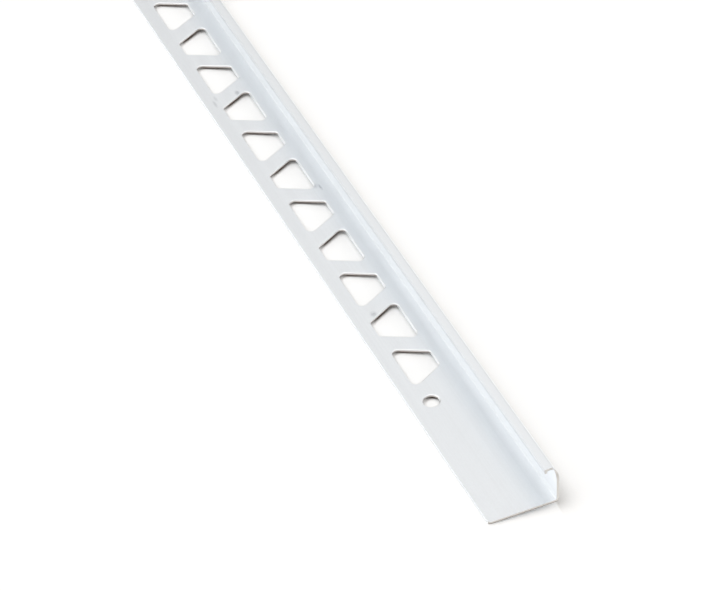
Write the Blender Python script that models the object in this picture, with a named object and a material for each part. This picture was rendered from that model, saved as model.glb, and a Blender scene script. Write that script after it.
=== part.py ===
"""Aluminium corner bead: one length of perforated square-edge trim.

The section lies in X and Z and is drawn out along Y. The flange lies flat on Z = 0 with its free
edge at -X. The wall stands at +X, and its top folds back over the flange and turns down in a short
lip. The origin is at the middle of the length and width, at the flange's underside.
"""
import cmath
import math

import bmesh
import bpy

MM = 0.001

# Section
FLANGE_WIDTH = 25.0 * MM
WALL_HEIGHT = 12.5 * MM
SHEET = 0.9 * MM
FOLD_WIDTH = 3.85 * MM
LIP_LENGTH = 1.8 * MM
OUTER_BEND_RADIUS = 1.2 * MM
LIP_BEND_RADIUS = 0.4 * MM
INNER_BEND_RADIUS = 0.5 * MM
OUTER_BEND_STEPS = 6
LIP_BEND_STEPS = 3
INNER_BEND_STEPS = 3

# Stock length, and what is taken off the corners at its two ends
LENGTH = 2500.0 * MM
END_CORNER_RADIUS = 1.2 * MM
END_CORNER_STEPS = 4
FOLD_SET_BACK = 3.0 * MM
WALL_CORNER_RADIUS = 3.0 * MM
WALL_CORNER_STEPS = 6

# Trapezoid holes, alternately with the long base toward the free edge and toward the wall
HOLE_PITCH = 22.1 * MM
HOLE_TO_END = 78.7 * MM
HOLE_TO_FREE_EDGE = 5.45 * MM
HOLE_DEPTH = 12.15 * MM
HOLE_LONG_BASE = 21.1 * MM
HOLE_SHORT_BASE = 7.75 * MM
SHARP_CORNER_RADIUS = 1.9 * MM
SHARP_CORNER_STEPS = 4
BLUNT_CORNER_RADIUS = 1.2 * MM
BLUNT_CORNER_STEPS = 2

# Round hanging hole, one near each end
HANG_HOLE_DIAMETER = 5.7 * MM
HANG_HOLE_TO_END = 59.8 * MM
HANG_HOLE_TO_FREE_EDGE = 7.65 * MM
HANG_HOLE_SIDES = 24

# How far the cutter reaches past the metal that it cuts
CUT_OVERSHOOT = 1.0 * MM

# A face counts as level when its unit normal's Z is at least this
LEVEL_NORMAL_Z = 0.99

FREE_EDGE_X = -FLANGE_WIDTH / 2
OUTER_FACE_X = FLANGE_WIDTH / 2
LIP_FACE_X = OUTER_FACE_X - FOLD_WIDTH
LIP_END_Z = WALL_HEIGHT - LIP_LENGTH


def clear_scene():
    """Removes every object that the open file holds."""
    for item in list(bpy.data.objects):
        bpy.data.objects.remove(item, do_unlink=True)


def rounded_outline(corners):
    """Returns the points of a closed outline whose corners are given as (u, v, radius, steps).

    A point is the complex number u + v*1j, whose digits keep faces that share a plane exactly in it.
    """
    points = []
    for index, (u, v, radius, steps) in enumerate(corners):
        corner = complex(u, v)
        if radius == 0.0:
            points.append(corner)
            continue
        before = complex(*corners[index - 1][:2]) - corner
        after = complex(*corners[(index + 1) % len(corners)][:2]) - corner
        before /= abs(before)
        after /= abs(after)
        half_angle = abs(cmath.phase(after / before)) / 2
        tangent = radius / math.tan(half_angle)
        centre = corner + (before + after) / abs(before + after) * radius / math.sin(half_angle)
        first = corner + before * tangent - centre
        turn = cmath.phase((corner + after * tangent - centre) / first)
        points += [centre + first * cmath.rect(1.0, turn * step / steps) for step in range(steps + 1)]
    return points


def corner_sliver(corner, out_u, out_v, radius, steps):
    """Returns the outline of what a rounded corner leaves off. The ways out are out_u and out_v, -1 or 1."""
    centre = corner - complex(out_u * radius, out_v * radius)
    arc = []
    for step in range(steps + 1):
        angle = math.pi / 2 * step / steps
        arc.append(centre + radius * complex(out_u * math.cos(angle), out_v * math.sin(angle)))
    beyond = corner + CUT_OVERSHOOT * complex(out_u, out_v)
    return arc + [complex(arc[-1].real, beyond.imag), beyond, complex(beyond.real, arc[0].imag)]


def add_prism(mesh, outline, place, depth):
    """Adds a closed prism to a bmesh: the outline set in space by place(), drawn along depth."""
    vertices = [mesh.verts.new(place(point)) for point in outline]
    face = mesh.faces.new(vertices)
    drawn = bmesh.ops.extrude_face_region(mesh, geom=[face])
    moved = [item for item in drawn["geom"] if isinstance(item, bmesh.types.BMVert)]
    bmesh.ops.translate(mesh, verts=moved, vec=depth)


def make_object(name, mesh):
    """Turns a bmesh into a named object with its faces pointing out."""
    bmesh.ops.recalc_face_normals(mesh, faces=mesh.faces)
    data = bpy.data.meshes.new(name)
    mesh.to_mesh(data)
    mesh.free()
    item = bpy.data.objects.new(name, data)
    bpy.context.scene.collection.objects.link(item)
    return item


def section_outline():
    """Returns the profile's section: flange, wall, fold and lip, all of one sheet thickness."""
    outer = (OUTER_BEND_RADIUS, OUTER_BEND_STEPS)
    lip = (LIP_BEND_RADIUS, LIP_BEND_STEPS)
    inner = (INNER_BEND_RADIUS, INNER_BEND_STEPS)
    square = (0.0, 0)
    return rounded_outline([
        (FREE_EDGE_X, 0.0, *square),
        (OUTER_FACE_X, 0.0, *outer),
        (OUTER_FACE_X, WALL_HEIGHT, *outer),
        (LIP_FACE_X, WALL_HEIGHT, *lip),
        (LIP_FACE_X, LIP_END_Z, *square),
        (LIP_FACE_X + SHEET, LIP_END_Z, *square),
        (LIP_FACE_X + SHEET, WALL_HEIGHT - SHEET, *inner),
        (OUTER_FACE_X - SHEET, WALL_HEIGHT - SHEET, *inner),
        (OUTER_FACE_X - SHEET, SHEET, *inner),
        (FREE_EDGE_X, SHEET, *square),
    ])


def trapezoid_outline(centre_y, long_side_out):
    """Returns one hole's outline, with its long base toward the free edge or toward the wall."""
    out_x = FREE_EDGE_X + HOLE_TO_FREE_EDGE
    in_x = out_x + HOLE_DEPTH
    long_x = out_x if long_side_out else in_x
    short_x = in_x if long_side_out else out_x
    sharp = (SHARP_CORNER_RADIUS, SHARP_CORNER_STEPS)
    blunt = (BLUNT_CORNER_RADIUS, BLUNT_CORNER_STEPS)
    return rounded_outline([
        (long_x, centre_y - HOLE_LONG_BASE / 2, *sharp),
        (short_x, centre_y - HOLE_SHORT_BASE / 2, *blunt),
        (short_x, centre_y + HOLE_SHORT_BASE / 2, *blunt),
        (long_x, centre_y + HOLE_LONG_BASE / 2, *sharp),
    ])


def circle_outline(centre):
    """Returns the outline of one hanging hole."""
    turns = [2 * math.pi * side / HANG_HOLE_SIDES for side in range(HANG_HOLE_SIDES)]
    return [centre + cmath.rect(HANG_HOLE_DIAMETER / 2, turn) for turn in turns]


def hole_centres():
    """Returns the trapezoids' places along the bar, spaced by the pitch about its middle."""
    count = 1 + int((LENGTH - 2 * HOLE_TO_END) / HOLE_PITCH + 0.5)
    first = -HOLE_PITCH * (count - 1) / 2
    return [first + HOLE_PITCH * index for index in range(count)]


def split_flange(mesh):
    """Splits the flange's top and underside between the holes, so that each face is cut by one opening."""
    centres = hole_centres()
    lines = [centres[0] - HOLE_PITCH / 2] + [centre + HOLE_PITCH / 2 for centre in centres]
    for line_y in lines:
        mesh.normal_update()
        level = [face for face in mesh.faces if abs(face.normal.z) >= LEVEL_NORMAL_Z]
        broad = [face for face in level if face.verts[0].co.z < WALL_HEIGHT / 2]
        edges = {edge for face in broad for edge in face.edges}
        corners = {corner for face in broad for corner in face.verts}
        bmesh.ops.bisect_plane(mesh, geom=[*broad, *edges, *corners],
                               plane_co=(0.0, line_y, 0.0), plane_no=(0.0, 1.0, 0.0))


def add_flange_openings(mesh):
    """Adds what the flange loses: its holes and its two rounded end corners."""
    outlines = []
    for index, centre_y in enumerate(hole_centres()):
        outlines.append(trapezoid_outline(centre_y, index % 2 == 0))
    for end in (-1, 1):
        hang_centre = complex(FREE_EDGE_X + HANG_HOLE_TO_FREE_EDGE, end * (LENGTH / 2 - HANG_HOLE_TO_END))
        corner = complex(FREE_EDGE_X, end * LENGTH / 2)
        outlines.append(circle_outline(hang_centre))
        outlines.append(corner_sliver(corner, -1, end, END_CORNER_RADIUS, END_CORNER_STEPS))
    for outline in outlines:
        add_prism(mesh, outline, lambda point: (point.real, point.imag, -CUT_OVERSHOOT),
                  (0.0, 0.0, SHEET + 2 * CUT_OVERSHOOT))


def add_fold_ends(mesh):
    """Adds what the fold and the lip lose, as they stop short of both ends."""
    wall_face_x = OUTER_FACE_X - SHEET
    reach_x = LIP_FACE_X - CUT_OVERSHOOT - wall_face_x
    low_z = LIP_END_Z - CUT_OVERSHOOT
    high_z = WALL_HEIGHT + CUT_OVERSHOOT
    for end in (-1, 1):
        inner_y = end * (LENGTH / 2 - FOLD_SET_BACK)
        outer_y = end * (LENGTH / 2 + CUT_OVERSHOOT)
        outline = [complex(inner_y, low_z), complex(outer_y, low_z),
                   complex(outer_y, high_z), complex(inner_y, high_z)]
        add_prism(mesh, outline, lambda point: (wall_face_x, point.real, point.imag), (reach_x, 0.0, 0.0))


def add_wall_corners(mesh):
    """Adds what the wall's rounded top corner leaves off at both ends."""
    start_x = LIP_FACE_X - CUT_OVERSHOOT
    depth_x = FOLD_WIDTH + 2 * CUT_OVERSHOOT
    for end in (-1, 1):
        corner = complex(end * LENGTH / 2, WALL_HEIGHT)
        outline = corner_sliver(corner, end, 1, WALL_CORNER_RADIUS, WALL_CORNER_STEPS)
        add_prism(mesh, outline, lambda point: (start_x, point.real, point.imag), (depth_x, 0.0, 0.0))


def make_cutter():
    """Makes the guide object that holds all that the drawn bar loses; its pieces cross near the ends."""
    mesh = bmesh.new()
    add_flange_openings(mesh)
    add_fold_ends(mesh)
    add_wall_corners(mesh)
    cutter = make_object("cut_away", mesh)
    cutter.hide_render = True
    cutter.display_type = "WIRE"
    return cutter


def aluminium():
    """Returns the satin mill finish of the bare metal."""
    material = bpy.data.materials.new("satin_aluminium")
    material.use_nodes = True
    shader = material.node_tree.nodes["Principled BSDF"]
    shader.inputs["Base Color"].default_value = (0.80, 0.83, 0.86, 1.0)
    shader.inputs["Metallic"].default_value = 1.0
    shader.inputs["Roughness"].default_value = 0.42
    return material


def make_bead():
    """Makes the bar: the section drawn along its length, less its openings and end corners."""
    mesh = bmesh.new()
    add_prism(mesh, section_outline(), lambda point: (point.real, -LENGTH / 2, point.imag),
              (0.0, LENGTH, 0.0))
    split_flange(mesh)
    bead = make_object("bead", mesh)
    bead.data.materials.append(aluminium())
    cut = bead.modifiers.new("cut_away", "BOOLEAN")
    cut.operation = "DIFFERENCE"
    cut.solver = "EXACT"
    cut.use_self = True
    cut.object = make_cutter()
    return bead


clear_scene()
make_bead()
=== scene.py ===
"""Looks of the aluminium corner bead: its finish, the studio and the camera, around the fixed frame."""
import cmath
import math

import bmesh
import bpy
from mathutils import Matrix, Vector


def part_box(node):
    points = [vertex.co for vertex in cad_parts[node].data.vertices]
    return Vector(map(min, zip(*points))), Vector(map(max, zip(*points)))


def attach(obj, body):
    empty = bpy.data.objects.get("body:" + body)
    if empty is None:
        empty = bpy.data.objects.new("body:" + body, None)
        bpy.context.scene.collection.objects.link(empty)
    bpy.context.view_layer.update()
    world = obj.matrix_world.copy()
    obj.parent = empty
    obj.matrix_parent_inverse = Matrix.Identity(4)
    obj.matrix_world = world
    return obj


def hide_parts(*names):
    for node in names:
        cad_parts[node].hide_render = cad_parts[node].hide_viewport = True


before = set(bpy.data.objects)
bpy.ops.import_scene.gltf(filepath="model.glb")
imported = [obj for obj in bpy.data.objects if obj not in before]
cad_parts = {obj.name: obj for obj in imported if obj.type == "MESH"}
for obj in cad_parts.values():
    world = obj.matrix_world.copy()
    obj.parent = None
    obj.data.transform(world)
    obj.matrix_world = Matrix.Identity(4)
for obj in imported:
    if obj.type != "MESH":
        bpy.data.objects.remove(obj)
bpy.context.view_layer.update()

MM = 0.001
IMAGE_WIDTH_PX = 709

# The solid's own extents
LOW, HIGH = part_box("bead")
FREE_EDGE_X = LOW.x
OUTER_FACE_X = HIGH.x
WALL_HEIGHT = HIGH.z
LENGTH = HIGH.y - LOW.y
FOOT_WIDTH = HIGH.x - LOW.x
NEAR_END_Y = LOW.y

# The section, at the sizes that the solid has. The lip's end also leans in a little.
SHEET = 0.9 * MM
FOLD_WIDTH = 3.85 * MM
LIP_LENGTH = 1.8 * MM
LIP_LEAN = 0.25 * MM
OUTER_BEND_RADIUS = 1.2 * MM
LIP_BEND_RADIUS = 0.4 * MM
INNER_BEND_RADIUS = 0.5 * MM
OUTER_BEND_STEPS = 12
LIP_BEND_STEPS = 6
INNER_BEND_STEPS = 8

# The ends and the openings, at the sizes that the solid has
END_CORNER_RADIUS = 1.2 * MM
END_CORNER_STEPS = 8
FOLD_SET_BACK = 3.0 * MM
WALL_CORNER_RADIUS = 3.0 * MM
WALL_CORNER_STEPS = 12
HOLE_PITCH = 22.1 * MM
HOLE_TO_END = 78.7 * MM
HOLE_TO_FREE_EDGE = 5.45 * MM
HOLE_DEPTH = 12.15 * MM
HOLE_LONG_BASE = 21.1 * MM
HOLE_SHORT_BASE = 7.75 * MM
SHARP_CORNER_RADIUS = 1.9 * MM
SHARP_CORNER_STEPS = 10
BLUNT_CORNER_RADIUS = 1.2 * MM
BLUNT_CORNER_STEPS = 5
HANG_HOLE_DIAMETER = 5.7 * MM
HANG_HOLE_TO_END = 59.8 * MM
HANG_HOLE_TO_FREE_EDGE = 7.65 * MM
HANG_HOLE_SIDES = 48
CUT_OVERSHOOT = 1.0 * MM

# A face counts as square to an axis from this share of its normal
SQUARE_NORMAL = 0.99

# From this share of its normal, a hole's base counts as parallel to the bar and stays as bright as the
# sheet;
# the other cut faces take the cut metal, darkened partly as painted shade
PARALLEL_NORMAL = 0.95

# How far the punch rounds over the holes' upper edges, and from which angle an edge is sharp
EDGE_ROUND = 0.37 * MM
EDGE_ROUND_STEPS = 4
SHARP_ANGLE = math.radians(40.0)
BROAD_FACE_WEIGHT = 100

# The bar's material slots, and from which share of its normal the lip's bend takes the lip's painted shade
SHEET_SLOT = 0
CUT_AND_SHADE_SLOT = 1
ROLLED_AND_HIGHLIGHT_SLOT = 2
LIP_SHADE_SLOT = 3
LIP_SHADE_NORMAL = 0.2

# The darkest and lightest tones of the sheet; of the lip, darkened as painted shade; of the burnished edges,
# brightened partly as a painted highlight; and of the cut faces, darkened partly as painted shade
SHEET_TONES = ((0.90, 0.922, 0.941), (0.95, 0.973, 0.992))
LIP_SHADE_TONES = ((0.71, 0.725, 0.745), (0.79, 0.805, 0.825))
ROLLED_AND_HIGHLIGHT_TONES = ((0.96, 0.97, 0.98), (0.99, 0.995, 1.0))
CUT_AND_SHADE_TONES = ((0.32, 0.27, 0.24), (0.74, 0.72, 0.69))

# The finishes' patterns: their sizes across and along the bar, and their detail
LINES = (0.45 * MM, 60.0 * MM, 3.0)
BANDS = (2.5 * MM, 300.0 * MM, 2.0)
GRAIN = (0.35 * MM, 0.8 * MM, 3.0)
CLOUDS = (9.0 * MM, 22.0 * MM, 4.0)
CUT_STREAKS = (0.25 * MM, 0.25 * MM, 3.0)
ROLLED_STREAKS = (0.3 * MM, 0.5 * MM, 3.0)
NOISE_ROUGHNESS = 0.55

# The ranges that the patterns are read from
NOISE_RANGE = (0.3, 0.7)
CLOUD_RANGE = (0.54, 0.74)
FULL_RANGE = (0.0, 1.0)

# What each pattern and the height up the wall add to the sheet's tone, what the height adds to a cut face's
# tone, darker toward its underside partly as painted shade, and the ranges of both tones
PATTERN_TONE = (-0.5, 0.5)
WALL_TONE = (0.0, 2.0)
SHEET_TONE_RANGE = (-2.0, 1.6)
CUT_HEIGHT_AND_SHADE_TONE = (-0.15, 0.6)
CUT_TONE_RANGE = (0.1, 0.9)

# How rough each finish is, and the strength and depth of its relief
SHEET_ROUGHNESS = (0.38, 0.42)
CLOUD_ROUGHNESS = 0.05
ROLLED_ROUGHNESS = (0.28, 0.34)
CUT_ROUGHNESS = (0.55, 0.70)
GRAIN_HEIGHT = 0.6
SHEET_RELIEF = (0.25, 0.01 * MM)
ROLLED_RELIEF = (0.2, 0.01 * MM)
CUT_RELIEF = (0.5, 0.03 * MM)

# Smudges on the flange: how far each lies from the free edge and from the near end, its half width and half
# length, and its strength. The grain breaks them up.
SMUDGE_COLOUR = (0.42, 0.44, 0.47, 1.0)
SMUDGE_BREAKS = (0.35, 0.6)
SMUDGE_SHARE = (0.4, 1.0)
SMUDGES = (
    (13.6 * MM, 243.0 * MM, 1.5 * MM, 2.4 * MM, 0.8),
    (19.2 * MM, 178.9 * MM, 0.6 * MM, 2.6 * MM, 0.8),
    (17.6 * MM, 180.5 * MM, 1.7 * MM, 2.2 * MM, 0.45),
    (8.2 * MM, 107.8 * MM, 1.7 * MM, 2.2 * MM, 0.6),
    (3.6 * MM, 240.5 * MM, 0.9 * MM, 3.2 * MM, 0.4),
    (4.9 * MM, 243.5 * MM, 0.9 * MM, 2.6 * MM, 0.3),
)

# The camera looks down along the bar from beside its near end
CAMERA_AZIMUTH = math.radians(-21.93)
CAMERA_ELEVATION = math.radians(40.95)
CAMERA_ROLL = math.radians(-2.9)
CAMERA_DISTANCE = 1157.7 * MM
CAMERA_FOCUS_PX = 3372.1
AIM_FROM_FREE_EDGE = 6.66 * MM
AIM_FROM_NEAR_END = 120.6 * MM
SENSOR_WIDTH_MM = 36.0
CLIP_NEAR = 0.05
CLIP_FAR = 20.0

# The room's light: soft glows, with the way that each lies, its colour and how gathered it is
ROOM_GLOWS = {
    "back": ((0.28, 0.70, 0.66), (0.44, 0.44, 0.44), 10.0),
    "back_left": ((-0.35, 0.50, 0.80), (0.55, 0.55, 0.55), 4.0),
    "low_left": ((-0.85, 0.45, 0.25), (0.42, 0.42, 0.42), 3.0),
    "left": ((-0.80, 0.0, 0.60), (0.62, 0.62, 0.62), 3.0),
    "high_left": ((-0.45, 0.10, 0.88), (0.50, 0.50, 0.50), 5.0),
    "low_right": ((0.95, 0.25, 0.10), (0.92, 0.90, 0.88), 3.0),
    "right": ((0.80, 0.0, 0.60), (0.20, 0.20, 0.20), 7.0),
    "top": ((0.25, -0.25, 0.94), (0.80, 0.80, 0.80), 4.0),
    "high_front": ((0.20, -0.65, 0.73), (0.66, 0.66, 0.66), 6.0),
    "front": ((0.0, -1.0, 0.20), (0.05, 0.04, 0.03), 2.0),
}

# The floor's colour as it lights the bar, as the metal mirrors it and as the camera sees it
FLOOR_COLOUR = (0.86, 0.86, 0.86, 1.0)
FLOOR_MIRRORED_COLOUR = (1.12, 1.12, 1.12, 1.0)
FLOOR_SEEN_COLOUR = (1.03, 1.025, 1.015, 1.0)

# The floor slopes down from the bar's free edge, as the photographed bar stands off it beside its wall
FLOOR_HALF_WIDTH = 40.0
FLOOR_GAP = 0.05 * MM
FLOOR_TILT = math.radians(4.5)

# The shade under the bar: its colour, how far it reaches, between which shares of free space it fades out,
# and between which distances from the free edge and from the near end it comes in
UNDER_SHADE_COLOUR = (0.12, 0.08, 0.06, 1.0)
UNDER_SHADE_REACH = 3.0 * MM
UNDER_SHADE_FREE = (0.4, 0.68)
UNDER_SHADE_FROM_EDGE = (4.0 * MM, 10.0 * MM)
UNDER_SHADE_FROM_END = (5.0 * MM, 30.0 * MM)

# The shade beside the wall's outer face: its colour, how far it reaches and how it fades out
SIDE_SHADE_COLOUR = (0.48, 0.455, 0.43, 1.0)
SIDE_SHADE_REACH = 11.0 * MM
SIDE_SHADE_FREE = (0.2, 1.0)

# The free space round a spot of the floor is looked for toward the lit side
SHADE_TOWARD = (-0.50, 0.60, 0.62)
SHADE_SAMPLES = 16


def rounded_outline(corners):
    """Returns the points of a closed outline whose corners are given as (u, v, radius, steps).

    A point is the complex number u + v*1j, whose digits keep faces that share a plane exactly in it.
    """
    points = []
    for index, (u, v, radius, steps) in enumerate(corners):
        corner = complex(u, v)
        if radius == 0.0:
            points.append(corner)
            continue
        before = complex(*corners[index - 1][:2]) - corner
        after = complex(*corners[(index + 1) % len(corners)][:2]) - corner
        before /= abs(before)
        after /= abs(after)
        half_angle = abs(cmath.phase(after / before)) / 2
        tangent = radius / math.tan(half_angle)
        centre = corner + (before + after) / abs(before + after) * radius / math.sin(half_angle)
        first = corner + before * tangent - centre
        turn = cmath.phase((corner + after * tangent - centre) / first)
        points += [centre + first * cmath.rect(1.0, turn * step / steps) for step in range(steps + 1)]
    return points


def corner_sliver(corner, out_u, out_v, radius, steps):
    """Returns the outline of what a rounded corner leaves off.

    The ways out are out_u and out_v, -1 or 1.
    """
    centre = corner - complex(out_u * radius, out_v * radius)
    arc = []
    for step in range(steps + 1):
        angle = math.pi / 2 * step / steps
        arc.append(centre + radius * complex(out_u * math.cos(angle), out_v * math.sin(angle)))
    beyond = corner + CUT_OVERSHOOT * complex(out_u, out_v)
    return arc + [complex(arc[-1].real, beyond.imag), beyond, complex(beyond.real, arc[0].imag)]


def add_prism(mesh, outline, place, depth):
    """Adds a closed prism to a bmesh: the outline set in space by place(), drawn along depth."""
    vertices = [mesh.verts.new(place(point)) for point in outline]
    face = mesh.faces.new(vertices)
    drawn = bmesh.ops.extrude_face_region(mesh, geom=[face])
    moved = [item for item in drawn["geom"] if isinstance(item, bmesh.types.BMVert)]
    bmesh.ops.translate(mesh, verts=moved, vec=depth)


def make_object(name, mesh, *materials):
    """Turns a bmesh into a named object with the given materials, with its faces pointing out."""
    bmesh.ops.recalc_face_normals(mesh, faces=mesh.faces)
    data = bpy.data.meshes.new(name)
    mesh.to_mesh(data)
    mesh.free()
    for material in materials:
        data.materials.append(material)
    item = bpy.data.objects.new(name, data)
    bpy.context.scene.collection.objects.link(item)
    return item


def section_outline():
    """Returns the section with finely stepped bends."""
    outer = (OUTER_BEND_RADIUS, OUTER_BEND_STEPS)
    lip = (LIP_BEND_RADIUS, LIP_BEND_STEPS)
    inner = (INNER_BEND_RADIUS, INNER_BEND_STEPS)
    square = (0.0, 0)
    lip_face_x = OUTER_FACE_X - FOLD_WIDTH
    lip_end_z = WALL_HEIGHT - LIP_LENGTH
    return rounded_outline([
        (FREE_EDGE_X, 0.0, *square),
        (OUTER_FACE_X, 0.0, *outer),
        (OUTER_FACE_X, WALL_HEIGHT, *outer),
        (lip_face_x, WALL_HEIGHT, *lip),
        (lip_face_x + LIP_LEAN, lip_end_z, *square),
        (lip_face_x + SHEET + LIP_LEAN, lip_end_z, *square),
        (lip_face_x + SHEET, WALL_HEIGHT - SHEET, *inner),
        (OUTER_FACE_X - SHEET, WALL_HEIGHT - SHEET, *inner),
        (OUTER_FACE_X - SHEET, SHEET, *inner),
        (FREE_EDGE_X, SHEET, *square),
    ])


def trapezoid_outline(centre_y, long_side_out):
    """Returns one hole's outline, with its long base toward the free edge or toward the wall."""
    out_x = FREE_EDGE_X + HOLE_TO_FREE_EDGE
    in_x = out_x + HOLE_DEPTH
    long_x = out_x if long_side_out else in_x
    short_x = in_x if long_side_out else out_x
    sharp = (SHARP_CORNER_RADIUS, SHARP_CORNER_STEPS)
    blunt = (BLUNT_CORNER_RADIUS, BLUNT_CORNER_STEPS)
    return rounded_outline([
        (long_x, centre_y - HOLE_LONG_BASE / 2, *sharp),
        (short_x, centre_y - HOLE_SHORT_BASE / 2, *blunt),
        (short_x, centre_y + HOLE_SHORT_BASE / 2, *blunt),
        (long_x, centre_y + HOLE_LONG_BASE / 2, *sharp),
    ])


def circle_outline(centre):
    """Returns the outline of one hanging hole."""
    turns = [2 * math.pi * side / HANG_HOLE_SIDES for side in range(HANG_HOLE_SIDES)]
    return [centre + cmath.rect(HANG_HOLE_DIAMETER / 2, turn) for turn in turns]


def hole_centres():
    """Returns the trapezoids' places along the bar, spaced by the pitch about its middle."""
    count = 1 + int((LENGTH - 2 * HOLE_TO_END) / HOLE_PITCH + 0.5)
    first = -HOLE_PITCH * (count - 1) / 2
    return [first + HOLE_PITCH * index for index in range(count)]


def split_flange(mesh):
    """Splits the flange's top and underside between the holes, so that each face is cut by one opening."""
    centres = hole_centres()
    lines = [centres[0] - HOLE_PITCH / 2] + [centre + HOLE_PITCH / 2 for centre in centres]
    for line_y in lines:
        mesh.normal_update()
        level = [face for face in mesh.faces if abs(face.normal.z) >= SQUARE_NORMAL]
        broad = [face for face in level if face.verts[0].co.z < WALL_HEIGHT / 2]
        edges = dict.fromkeys(edge for face in broad for edge in face.edges)
        corners = dict.fromkeys(corner for face in broad for corner in face.verts)
        bmesh.ops.bisect_plane(mesh, geom=[*broad, *edges, *corners],
                               plane_co=(0.0, line_y, 0.0), plane_no=(0.0, 1.0, 0.0))


def add_flange_openings(mesh):
    """Adds what the flange loses: its holes and its two rounded end corners."""
    outlines = []
    for index, centre_y in enumerate(hole_centres()):
        outlines.append(trapezoid_outline(centre_y, index % 2 == 0))
    for end in (-1, 1):
        hang_hole_y = end * (LENGTH / 2 - HANG_HOLE_TO_END)
        hang_centre = complex(FREE_EDGE_X + HANG_HOLE_TO_FREE_EDGE, hang_hole_y)
        corner = complex(FREE_EDGE_X, end * LENGTH / 2)
        outlines.append(circle_outline(hang_centre))
        outlines.append(corner_sliver(corner, -1, end, END_CORNER_RADIUS, END_CORNER_STEPS))
    for outline in outlines:
        add_prism(mesh, outline, lambda point: (point.real, point.imag, -CUT_OVERSHOOT),
                  (0.0, 0.0, SHEET + 2 * CUT_OVERSHOOT))


def add_fold_ends(mesh):
    """Adds what the fold and the lip lose, as they stop short of both ends."""
    wall_face_x = OUTER_FACE_X - SHEET
    reach_x = -FOLD_WIDTH + SHEET - CUT_OVERSHOOT
    low_z = WALL_HEIGHT - LIP_LENGTH - CUT_OVERSHOOT
    high_z = WALL_HEIGHT + CUT_OVERSHOOT
    for end in (-1, 1):
        inner_y = end * (LENGTH / 2 - FOLD_SET_BACK)
        outer_y = end * (LENGTH / 2 + CUT_OVERSHOOT)
        outline = [complex(inner_y, low_z), complex(outer_y, low_z),
                   complex(outer_y, high_z), complex(inner_y, high_z)]
        add_prism(mesh, outline, lambda point: (wall_face_x, point.real, point.imag), (reach_x, 0.0, 0.0))


def add_wall_corners(mesh):
    """Adds what the wall's rounded top corner leaves off at both ends."""
    start_x = OUTER_FACE_X - FOLD_WIDTH - CUT_OVERSHOOT
    depth_x = FOLD_WIDTH + 2 * CUT_OVERSHOOT
    for end in (-1, 1):
        corner = complex(end * LENGTH / 2, WALL_HEIGHT)
        outline = corner_sliver(corner, end, 1, WALL_CORNER_RADIUS, WALL_CORNER_STEPS)
        add_prism(mesh, outline, lambda point: (start_x, point.real, point.imag), (depth_x, 0.0, 0.0))


def apply_modifiers(item):
    """Leaves the item with the mesh that its modifiers make."""
    graph = bpy.context.evaluated_depsgraph_get()
    made = bpy.data.meshes.new_from_object(item.evaluated_get(graph))
    item.modifiers.clear()
    item.data = made


def mark_sawn_ends(mesh):
    """Marks the bar's two end faces as cut metal, darkened partly as painted shade."""
    mesh.normal_update()
    for face in mesh.faces:
        if abs(face.normal.y) >= SQUARE_NORMAL:
            face.material_index = CUT_AND_SHADE_SLOT


def mark_shaded_lip(mesh):
    """Marks the lip's outer face and its bend for a darker copy of the sheet's finish: painted shade that
    dims their highlight.
    """
    for face in mesh.faces:
        middle = face.calc_center_median()
        at_fold_edge = middle.x < OUTER_FACE_X - FOLD_WIDTH + SHEET
        above_lip_end = middle.z > WALL_HEIGHT - LIP_LENGTH
        if at_fold_edge and above_lip_end and abs(face.normal.x) > LIP_SHADE_NORMAL:
            face.material_index = LIP_SHADE_SLOT


def mark_rolled_edges(data):
    """Marks the sharp edges round the holes in the flange's top face, which the punch rounds over."""
    mesh = bmesh.new()
    mesh.from_mesh(data)
    rolled = mesh.edges.layers.float.new("bevel_weight_edge")
    for edge in mesh.edges:
        spots = [corner.co for corner in edge.verts]
        at_top = all(abs(spot.z - SHEET) < SHEET / 2 for spot in spots)
        off_sides = all(FREE_EDGE_X + SHEET < spot.x < OUTER_FACE_X - SHEET for spot in spots)
        off_ends = all(abs(spot.y) < LENGTH / 2 - END_CORNER_RADIUS for spot in spots)
        if at_top and off_sides and off_ends and edge.calc_face_angle(0.0) > SHARP_ANGLE:
            edge[rolled] = 1.0
    mesh.to_mesh(data)
    mesh.free()


def cut_openings(bead, finishes):
    """Cuts the openings and the ends out of the bar; new faces that aren't parallel to it are cut metal,
    darkened partly as painted shade.
    """
    mesh = bmesh.new()
    add_flange_openings(mesh)
    add_fold_ends(mesh)
    add_wall_corners(mesh)
    mesh.normal_update()
    for face in mesh.faces:
        face.material_index = SHEET_SLOT if abs(face.normal.x) >= PARALLEL_NORMAL else CUT_AND_SHADE_SLOT
    cutter = make_object("cut_away", mesh, *finishes)
    cut = bead.modifiers.new("cut_away", "BOOLEAN")
    cut.operation = "DIFFERENCE"
    cut.solver = "EXACT"
    cut.use_self = True
    cut.material_mode = "TRANSFER"
    cut.object = cutter
    apply_modifiers(bead)
    bpy.data.objects.remove(cutter, do_unlink=True)


def round_hole_edges(bead):
    """Rounds over the marked edges with burnished metal, brightened partly as a painted highlight."""
    mark_rolled_edges(bead.data)
    rounding = bead.modifiers.new("rounding", "BEVEL")
    rounding.width = EDGE_ROUND
    rounding.segments = EDGE_ROUND_STEPS
    rounding.limit_method = "WEIGHT"
    rounding.use_clamp_overlap = False
    rounding.material = ROLLED_AND_HIGHLIGHT_SLOT
    apply_modifiers(bead)


def smooth_faces(bead):
    """Shades the bends smooth, and keeps the broad faces flat and the other edges sharp."""
    bead.data.shade_smooth()
    bead.data.set_sharp_from_angle(angle=SHARP_ANGLE)
    flat_faces = bead.modifiers.new("flat_faces", "WEIGHTED_NORMAL")
    flat_faces.mode = "FACE_AREA"
    flat_faces.weight = BROAD_FACE_WEIGHT
    flat_faces.keep_sharp = True
    apply_modifiers(bead)


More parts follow.
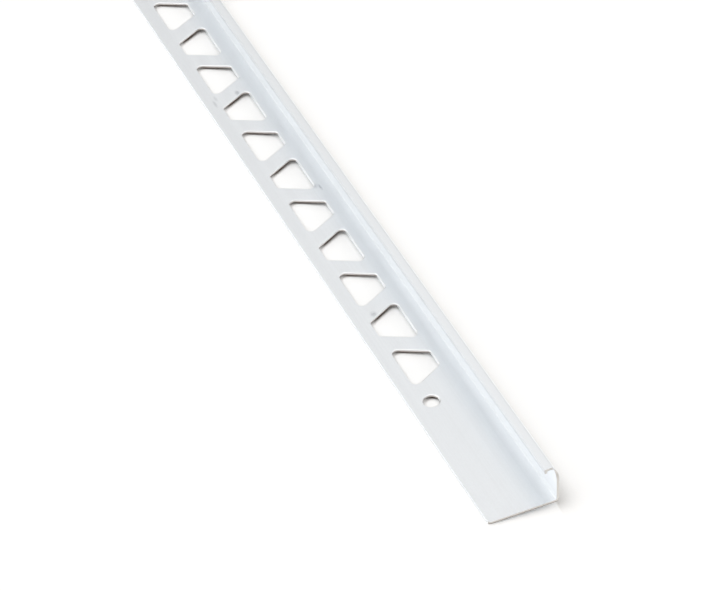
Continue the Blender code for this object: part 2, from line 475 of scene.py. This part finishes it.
def make_bead():
    """Makes the bar with fine bends, rounded hole edges and a finish for each kind of face, with painted
    shade on the lip and partly painted shade and highlight on the cut faces and rounded edges.
    """
    finishes = (aluminium("satin_aluminium", SHEET_TONES), cut_and_shaded_metal(), rolled_and_highlit_metal(),
                aluminium("lip_shaded_aluminium", LIP_SHADE_TONES))
    mesh = bmesh.new()
    add_prism(mesh, section_outline(), lambda point: (point.real, NEAR_END_Y, point.imag),
              (0.0, LENGTH, 0.0))
    split_flange(mesh)
    mark_sawn_ends(mesh)
    mark_shaded_lip(mesh)
    bead = make_object("bead_metal", mesh, *finishes)
    cut_openings(bead, finishes)
    round_hole_edges(bead)
    smooth_faces(bead)
    return bead


def add_node(tree, kind, **settings):
    """Adds a node, and sets its properties and the inputs of the same name."""
    made = tree.nodes.new(kind)
    for name, value in settings.items():
        label = name.replace("_", " ").title()
        if label in made.inputs:
            made.inputs[label].default_value = value
        else:
            setattr(made, name, value)
    return made


def feed(tree, socket, value):
    """Sets an input to a plain value, or links another node's output to it."""
    if isinstance(value, bpy.types.NodeSocket):
        tree.links.new(value, socket)
    else:
        socket.default_value = value


def stretched_noise(tree, place, across, along, detail):
    """Adds noise with features of the given sizes across and along the bar, and returns its value."""
    scaled = add_node(tree, "ShaderNodeMapping", scale=(1 / across, 1 / along, 1 / across))
    noise = add_node(tree, "ShaderNodeTexNoise", scale=1.0, detail=detail, roughness=NOISE_ROUGHNESS)
    feed(tree, scaled.inputs["Vector"], place)
    feed(tree, noise.inputs["Vector"], scaled.outputs["Vector"])
    return noise.outputs["Fac"]


def remap(tree, value, source, target):
    """Adds a smooth change of a value from one range to another, and returns the result."""
    ranged = add_node(tree, "ShaderNodeMapRange", interpolation_type="SMOOTHSTEP",
                      from_min=source[0], from_max=source[1], to_min=target[0], to_max=target[1])
    feed(tree, ranged.inputs["Value"], value)
    return ranged.outputs["Result"]


def combine(tree, operation, first, second):
    """Adds a calculation with two values, and returns its result."""
    result = add_node(tree, "ShaderNodeMath", operation=operation)
    feed(tree, result.inputs[0], first)
    feed(tree, result.inputs[1], second)
    return result.outputs["Value"]


def mixed(tree, share, first, second):
    """Adds a mix of two colours, the first one where the share is 0, and returns it."""
    mix = add_node(tree, "ShaderNodeMix", data_type="RGBA")
    feed(tree, mix.inputs["Factor"], share)
    feed(tree, mix.inputs["A"], first)
    feed(tree, mix.inputs["B"], second)
    return mix.outputs["Result"]


def tint(tree, share, tones):
    """Adds a colour between a dark and a light tone, and returns it."""
    dark, light = tones
    return mixed(tree, share, (*dark, 1.0), (*light, 1.0))


def axis(tree, place, name):
    """Adds the split of a place into its axes, and returns the one that is named."""
    parts = add_node(tree, "ShaderNodeSeparateXYZ")
    feed(tree, parts.inputs["Vector"], place)
    return parts.outputs[name]


def object_place(tree):
    """Adds the object's own coordinates, and returns them."""
    return add_node(tree, "ShaderNodeTexCoord").outputs["Object"]


def start_metal(name):
    """Makes a new material, and returns it with its node tree and the object's own coordinates."""
    material = bpy.data.materials.new(name)
    material.use_nodes = True
    return material, material.node_tree, object_place(material.node_tree)


def dress_metal(tree, colour, roughness, height, relief):
    """Makes the tree's shader a metal with a colour, a roughness and a relief of some strength and depth."""
    strength, depth = relief
    bump = add_node(tree, "ShaderNodeBump", strength=strength, distance=depth)
    shader = tree.nodes["Principled BSDF"]
    feed(tree, bump.inputs["Height"], height)
    feed(tree, shader.inputs["Metallic"], 1.0)
    feed(tree, shader.inputs["Base Color"], colour)
    feed(tree, shader.inputs["Roughness"], roughness)
    feed(tree, shader.inputs["Normal"], bump.outputs["Normal"])


def add_smudges(tree, place, grain):
    """Adds the flange's smudges, broken up by the grain, and returns how strong they are."""
    total = 0.0
    for from_free_edge, from_near_end, half_width, half_length, strength in SMUDGES:
        centre = (FREE_EDGE_X + from_free_edge, NEAR_END_Y + from_near_end, SHEET)
        size = (half_width, half_length, half_width)
        scaled = add_node(tree, "ShaderNodeMapping", scale=[1 / extent for extent in size],
                          location=[-spot / extent for spot, extent in zip(centre, size)])
        feed(tree, scaled.inputs["Vector"], place)
        distance = add_node(tree, "ShaderNodeVectorMath", operation="LENGTH")
        feed(tree, distance.inputs[0], scaled.outputs["Vector"])
        smudge = remap(tree, distance.outputs["Value"], FULL_RANGE, (strength, 0.0))
        total = combine(tree, "ADD", smudge, total)
    return combine(tree, "MULTIPLY", total, remap(tree, grain, SMUDGE_BREAKS, SMUDGE_SHARE))


def aluminium(name, tones):
    """Satin mill aluminium: faint lines along the bar, grain and light smudges, and lighter higher up the
    wall. With darker tones it makes the lip's painted shade.
    """
    material, tree, place = start_metal(name)
    lines = stretched_noise(tree, place, *LINES)
    bands = stretched_noise(tree, place, *BANDS)
    grain = stretched_noise(tree, place, *GRAIN)
    clouds = remap(tree, stretched_noise(tree, place, *CLOUDS), CLOUD_RANGE, FULL_RANGE)
    tone = 0.0
    for pattern in (lines, bands, grain):
        tone = combine(tree, "ADD", tone, remap(tree, pattern, NOISE_RANGE, PATTERN_TONE))
    tone = combine(tree, "SUBTRACT", tone, clouds)
    # Lighter higher up the wall
    up_wall = remap(tree, axis(tree, place, "Z"), (2 * SHEET, WALL_HEIGHT), WALL_TONE)
    tone = combine(tree, "ADD", tone, up_wall)
    clean = tint(tree, remap(tree, tone, SHEET_TONE_RANGE, FULL_RANGE), tones)
    colour = mixed(tree, add_smudges(tree, place, grain), clean, SMUDGE_COLOUR)
    roughness = combine(tree, "ADD", remap(tree, bands, NOISE_RANGE, SHEET_ROUGHNESS),
                        combine(tree, "MULTIPLY", clouds, CLOUD_ROUGHNESS))
    height = combine(tree, "ADD", lines, combine(tree, "MULTIPLY", grain, GRAIN_HEIGHT))
    dress_metal(tree, colour, roughness, height, SHEET_RELIEF)
    return material


def cut_and_shaded_metal():
    """Sheared metal of the punched and sawn faces: dull grey, partly its own and partly painted shade, and
    darker and browner toward the underside, partly the shear's rough zone and partly painted shade of the
    gap beneath.
    """
    material, tree, place = start_metal("sheared_and_shaded_aluminium")
    # Darker toward the underside: partly the shear's rough zone, partly painted shade of the gap beneath
    up_sheet = remap(tree, axis(tree, place, "Z"), (0.0, SHEET), CUT_HEIGHT_AND_SHADE_TONE)
    streaks = stretched_noise(tree, place, *CUT_STREAKS)
    tone = combine(tree, "ADD", up_sheet, streaks)
    colour = tint(tree, remap(tree, tone, CUT_TONE_RANGE, FULL_RANGE), CUT_AND_SHADE_TONES)
    roughness = remap(tree, streaks, NOISE_RANGE, CUT_ROUGHNESS)
    dress_metal(tree, colour, roughness, streaks, CUT_RELIEF)
    return material


def rolled_and_highlit_metal():
    """Burnished metal of the edges that the punch rolls over: brighter than the sheet, partly as burnished
    metal and partly as a painted highlight, with fine streaks.
    """
    material, tree, place = start_metal("rolled_and_highlit_aluminium")
    streaks = stretched_noise(tree, place, *ROLLED_STREAKS)
    colour = tint(tree, remap(tree, streaks, NOISE_RANGE, FULL_RANGE), ROLLED_AND_HIGHLIGHT_TONES)
    roughness = remap(tree, streaks, NOISE_RANGE, ROLLED_ROUGHNESS)
    dress_metal(tree, colour, roughness, streaks, ROLLED_RELIEF)
    return material


def make_camera():
    """Places the camera at the viewing angle, aimed at a point of the flange."""
    data = bpy.data.cameras.new("camera")
    data.sensor_width = SENSOR_WIDTH_MM
    data.lens = CAMERA_FOCUS_PX * SENSOR_WIDTH_MM / IMAGE_WIDTH_PX
    data.clip_start = CLIP_NEAR
    data.clip_end = CLIP_FAR
    camera = bpy.data.objects.new("camera", data)
    turn = (Matrix.Rotation(CAMERA_AZIMUTH, 4, "Z")
            @ Matrix.Rotation(math.pi / 2 - CAMERA_ELEVATION, 4, "X")
            @ Matrix.Rotation(CAMERA_ROLL, 4, "Z"))
    aim = Vector((FREE_EDGE_X + AIM_FROM_FREE_EDGE, NEAR_END_Y + AIM_FROM_NEAR_END, 0.0))
    back = turn.to_3x3() @ Vector((0.0, 0.0, CAMERA_DISTANCE))
    camera.matrix_world = Matrix.Translation(aim + back) @ turn
    bpy.context.scene.collection.objects.link(camera)
    bpy.context.scene.camera = camera


def free_share(tree, reach):
    """Adds how free a spot of the floor is of things within reach, toward the lit side, and returns it."""
    toward = add_node(tree, "ShaderNodeCombineXYZ")
    for socket, value in zip(toward.inputs, SHADE_TOWARD):
        feed(tree, socket, value)
    around = add_node(tree, "ShaderNodeAmbientOcclusion", samples=SHADE_SAMPLES, distance=reach)
    feed(tree, around.inputs["Normal"], toward.outputs["Vector"])
    return around.outputs["AO"]


def shaded_floor(tree):
    """Adds the floor's colour to the camera: white, with the shade under the bar and beside its wall."""
    place = object_place(tree)
    from_edge = axis(tree, place, "X")
    from_end = tuple(NEAR_END_Y + distance for distance in UNDER_SHADE_FROM_END)
    wall_face = (FOOT_WIDTH - SHEET, FOOT_WIDTH + SHEET)
    at_edge = remap(tree, from_edge, UNDER_SHADE_FROM_EDGE, (1.0, 0.0))
    at_end = remap(tree, axis(tree, place, "Y"), from_end, (1.0, 0.0))
    free = remap(tree, free_share(tree, UNDER_SHADE_REACH), UNDER_SHADE_FREE, FULL_RANGE)
    free = combine(tree, "MAXIMUM", free, combine(tree, "MAXIMUM", at_edge, at_end))
    inward = remap(tree, from_edge, wall_face, (1.0, 0.0))
    beside = remap(tree, free_share(tree, SIDE_SHADE_REACH), SIDE_SHADE_FREE, FULL_RANGE)
    beside = combine(tree, "MAXIMUM", beside, inward)
    return mixed(tree, free, UNDER_SHADE_COLOUR, mixed(tree, beside, SIDE_SHADE_COLOUR, FLOOR_SEEN_COLOUR))


def floor_white():
    """Matt white paper, brighter to the camera and in the metal than as a light, so that it shows white."""
    material = bpy.data.materials.new("floor_white")
    material.use_nodes = True
    tree = material.node_tree
    tree.nodes.clear()
    ray = add_node(tree, "ShaderNodeLightPath")
    unseen = mixed(tree, ray.outputs["Is Glossy Ray"], FLOOR_COLOUR, FLOOR_MIRRORED_COLOUR)
    paper = add_node(tree, "ShaderNodeBsdfDiffuse")
    feed(tree, paper.inputs["Color"], mixed(tree, ray.outputs["Is Camera Ray"], unseen, shaded_floor(tree)))
    surface = add_node(tree, "ShaderNodeOutputMaterial")
    feed(tree, surface.inputs["Surface"], paper.outputs["BSDF"])
    return material


def make_floor():
    """Makes a plain white floor, which slopes away from the bar's free edge toward its wall."""
    mesh = bmesh.new()
    bmesh.ops.create_grid(mesh, x_segments=1, y_segments=1, size=FLOOR_HALF_WIDTH)
    floor = make_object("floor", mesh, floor_white())
    touch = Vector((FREE_EDGE_X, 0.0, -FLOOR_GAP))
    floor.matrix_world = Matrix.Translation(touch) @ Matrix.Rotation(FLOOR_TILT, 4, "Y")


def add_glow(tree, direction, toward, colour, gather):
    """Adds one soft glow of the room, brightest the way that it lies, and returns its light."""
    facing = add_node(tree, "ShaderNodeVectorMath", operation="DOT_PRODUCT")
    feed(tree, facing.inputs[0], direction)
    feed(tree, facing.inputs[1], Vector(toward).normalized())
    share = combine(tree, "POWER", combine(tree, "MAXIMUM", facing.outputs["Value"], 0.0), gather)
    light = add_node(tree, "ShaderNodeVectorMath", operation="SCALE")
    feed(tree, light.inputs[0], colour)
    feed(tree, light.inputs["Scale"], share)
    return light.outputs["Vector"]


def make_room():
    """Makes a pale room, with a soft glow for each of its lamps and walls."""
    world = bpy.data.worlds.new("studio")
    world.use_nodes = True
    tree = world.node_tree
    direction = add_node(tree, "ShaderNodeTexCoord").outputs["Generated"]
    light = (0.0, 0.0, 0.0)
    for toward, colour, gather in ROOM_GLOWS.values():
        both = add_node(tree, "ShaderNodeVectorMath", operation="ADD")
        feed(tree, both.inputs[0], light)
        feed(tree, both.inputs[1], add_glow(tree, direction, toward, colour, gather))
        light = both.outputs["Vector"]
    feed(tree, tree.nodes["Background"].inputs["Color"], light)
    bpy.context.scene.world = world


make_camera()
make_floor()
make_room()
bead = make_bead()
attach(bead, "root")
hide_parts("bead")

bpy.context.scene.view_settings.view_transform = "Standard"
